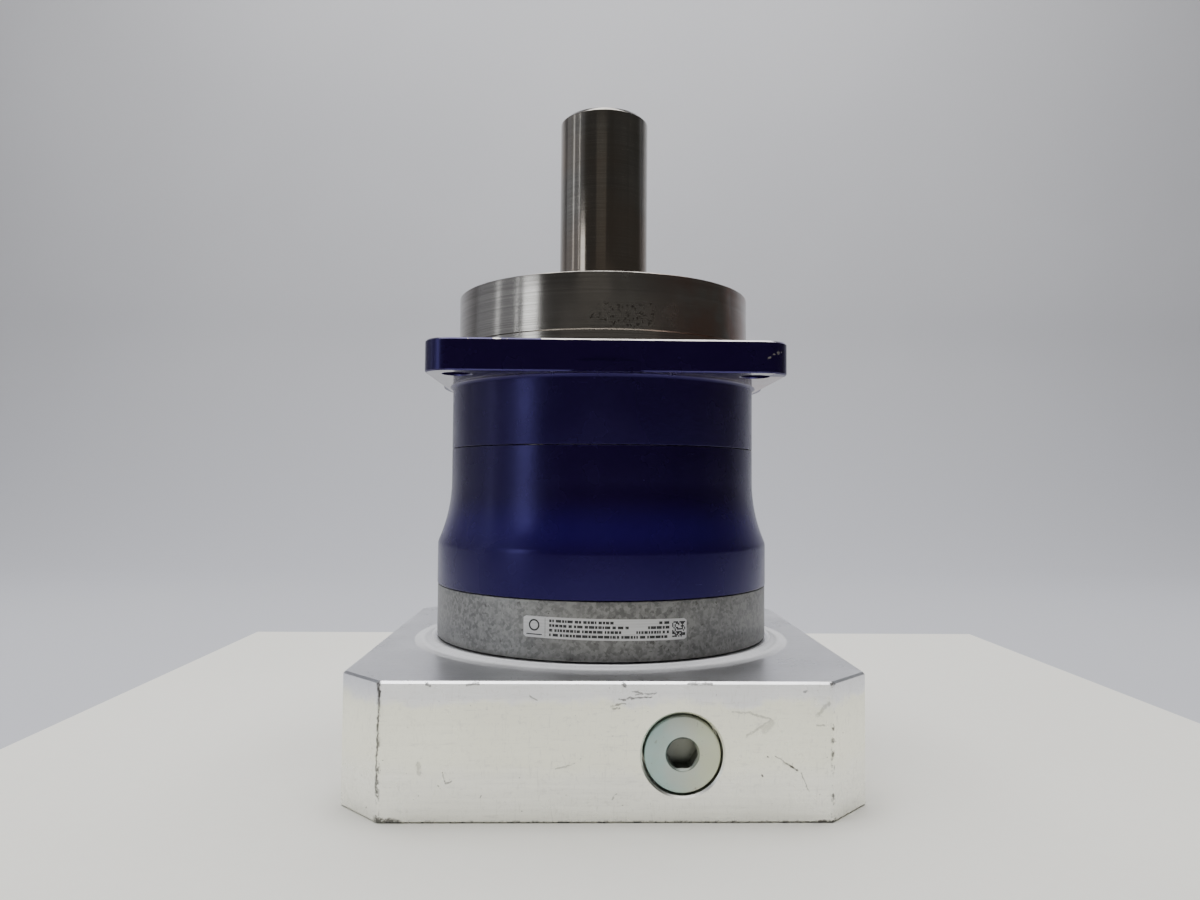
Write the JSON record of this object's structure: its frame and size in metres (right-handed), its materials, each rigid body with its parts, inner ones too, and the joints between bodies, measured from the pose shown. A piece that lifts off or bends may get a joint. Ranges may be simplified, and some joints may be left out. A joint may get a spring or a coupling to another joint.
{
  "type": "planetary gearbox",
  "caption": "Inline planetary gearbox with a smooth output shaft, square mounting flange, flared round housing and square motor adapter plate.",
  "frame": {"origin": "centre of the motor adapter plate's lower face, where the motor bolts on", "axes": "+Z along the common axis of input and output, towards the end of the output shaft; -Y towards the access hole of the clamping screw"},
  "size_m": [0.19, 0.19, 0.2831],
  "materials": {
    "blue_paint": "semi-gloss dark blue enamel",
    "steel": "ground and turned",
    "hard_steel": "hardened and ground",
    "gear_steel": "case-hardened and ground",
    "cast_aluminium": "as cast, lightly blasted",
    "machined_aluminium": "milled, satin",
    "zinc": "zinc plated, passivated",
    "black_oxide": "black oxide",
    "brass": "machined bronze",
    "rubber": "nitrile, moulded",
    "label": "printed foil, satin"
  },
  "bodies": {
    "housing": {"output_housing": "blue_paint", "ring_gear_housing": "blue_paint", "input_flange": "cast_aluminium", "adapter_plate": "machined_aluminium", "rating_plate": "label", "output_seal": "rubber", "input_seal": "rubber", "upper_bearing_cup": "hard_steel", "lower_bearing_cup": "hard_steel", "input_bearing_outer_race": "hard_steel", "bearing_circlip": "black_oxide", "housing_o_ring": "rubber", "flange_o_ring": "rubber", "flange_screw_1": "black_oxide", "flange_screw_2": "black_oxide", "flange_screw_3": "black_oxide", "flange_screw_4": "black_oxide", "flange_screw_5": "black_oxide", "flange_screw_6": "black_oxide", "plate_screw_1": "black_oxide", "plate_screw_2": "black_oxide", "plate_screw_3": "black_oxide", "plate_screw_4": "black_oxide"},
    "output": {"planet_carrier": "steel", "upper_bearing_cone": "hard_steel", "lower_bearing_cone": "hard_steel", "bearing_nut": "black_oxide", "planet_pin_1": "hard_steel", "planet_pin_2": "hard_steel", "planet_pin_3": "hard_steel", "planet_washer_lower_1": "brass", "planet_washer_lower_2": "brass", "planet_washer_lower_3": "brass", "planet_washer_upper_1": "brass", "planet_washer_upper_2": "brass", "planet_washer_upper_3": "brass"},
    "input": {"clamping_hub": "steel", "sun_gear": "gear_steel", "clamp_screw": "black_oxide", "input_bearing_inner_race": "hard_steel", "hub_circlip": "black_oxide"},
    "access_plug": {"access_plug": "zinc"},
    "planet_1": {"planet_gear_1": "gear_steel"},
    "needles_1": {"planet_needles_1": "hard_steel"},
    "planet_2": {"planet_gear_2": "gear_steel"},
    "needles_2": {"planet_needles_2": "hard_steel"},
    "planet_3": {"planet_gear_3": "gear_steel"},
    "needles_3": {"planet_needles_3": "hard_steel"},
    "upper_bearing_rollers": {"upper_bearing_rollers": "hard_steel"},
    "lower_bearing_rollers": {"lower_bearing_rollers": "hard_steel"},
    "input_balls": {"input_bearing_balls": "hard_steel"}
  },
  "joints": [
    {"name": "output_spin", "type": "hinge", "parent": "housing", "child": "output", "pos_m": [0, 0, 0.158], "axis": [0, 0, 1], "continuous": true},
    {"name": "input_spin", "type": "hinge", "parent": "housing", "child": "input", "pos_m": [0, 0, 0.067], "axis": [0, 0, 1], "continuous": true},
    {"name": "upper_roller_spin", "type": "hinge", "parent": "housing", "child": "upper_bearing_rollers", "pos_m": [0, 0, 0.174], "axis": [0, 0, 1], "continuous": true},
    {"name": "lower_roller_spin", "type": "hinge", "parent": "housing", "child": "lower_bearing_rollers", "pos_m": [0, 0, 0.143], "axis": [0, 0, 1], "continuous": true},
    {"name": "input_ball_spin", "type": "hinge", "parent": "housing", "child": "input_balls", "pos_m": [0, 0, 0.067], "axis": [0, 0, 1], "continuous": true},
    {"name": "access_plug_out", "type": "slide", "parent": "housing", "child": "access_plug", "axis": [0, -1, 0], "range_m": [0, 0.04]},
    {"name": "planet_1_spin", "type": "hinge", "parent": "output", "child": "planet_1", "pos_m": [0, 0.0378, 0.1074], "axis": [0, 0, 1], "continuous": true},
    {"name": "needles_1_spin", "type": "hinge", "parent": "output", "child": "needles_1", "pos_m": [0, 0.0378, 0.1074], "axis": [0, 0, 1], "continuous": true},
    {"name": "planet_2_spin", "type": "hinge", "parent": "output", "child": "planet_2", "pos_m": [-0.03274, -0.0189, 0.1074], "axis": [0, 0, 1], "continuous": true},
    {"name": "needles_2_spin", "type": "hinge", "parent": "output", "child": "needles_2", "pos_m": [-0.03274, -0.0189, 0.1074], "axis": [0, 0, 1], "continuous": true},
    {"name": "planet_3_spin", "type": "hinge", "parent": "output", "child": "planet_3", "pos_m": [0.03274, -0.0189, 0.1074], "axis": [0, 0, 1], "continuous": true},
    {"name": "needles_3_spin", "type": "hinge", "parent": "output", "child": "needles_3", "pos_m": [0.03274, -0.0189, 0.1074], "axis": [0, 0, 1], "continuous": true}
  ],
  "couplings": [
    {"joint": "input_spin", "follows": "output_spin", "ratio": 4},
    {"joint": "upper_roller_spin", "follows": "output_spin", "ratio": 0.46},
    {"joint": "lower_roller_spin", "follows": "output_spin", "ratio": 0.4642},
    {"joint": "input_ball_spin", "follows": "output_spin", "ratio": 1.7574},
    {"joint": "planet_1_spin", "follows": "output_spin", "ratio": -3},
    {"joint": "needles_1_spin", "follows": "output_spin", "ratio": -1.7368},
    {"joint": "planet_2_spin", "follows": "output_spin", "ratio": -3},
    {"joint": "needles_2_spin", "follows": "output_spin", "ratio": -1.7368},
    {"joint": "planet_3_spin", "follows": "output_spin", "ratio": -3},
    {"joint": "needles_3_spin", "follows": "output_spin", "ratio": -1.7368}
  ]
}
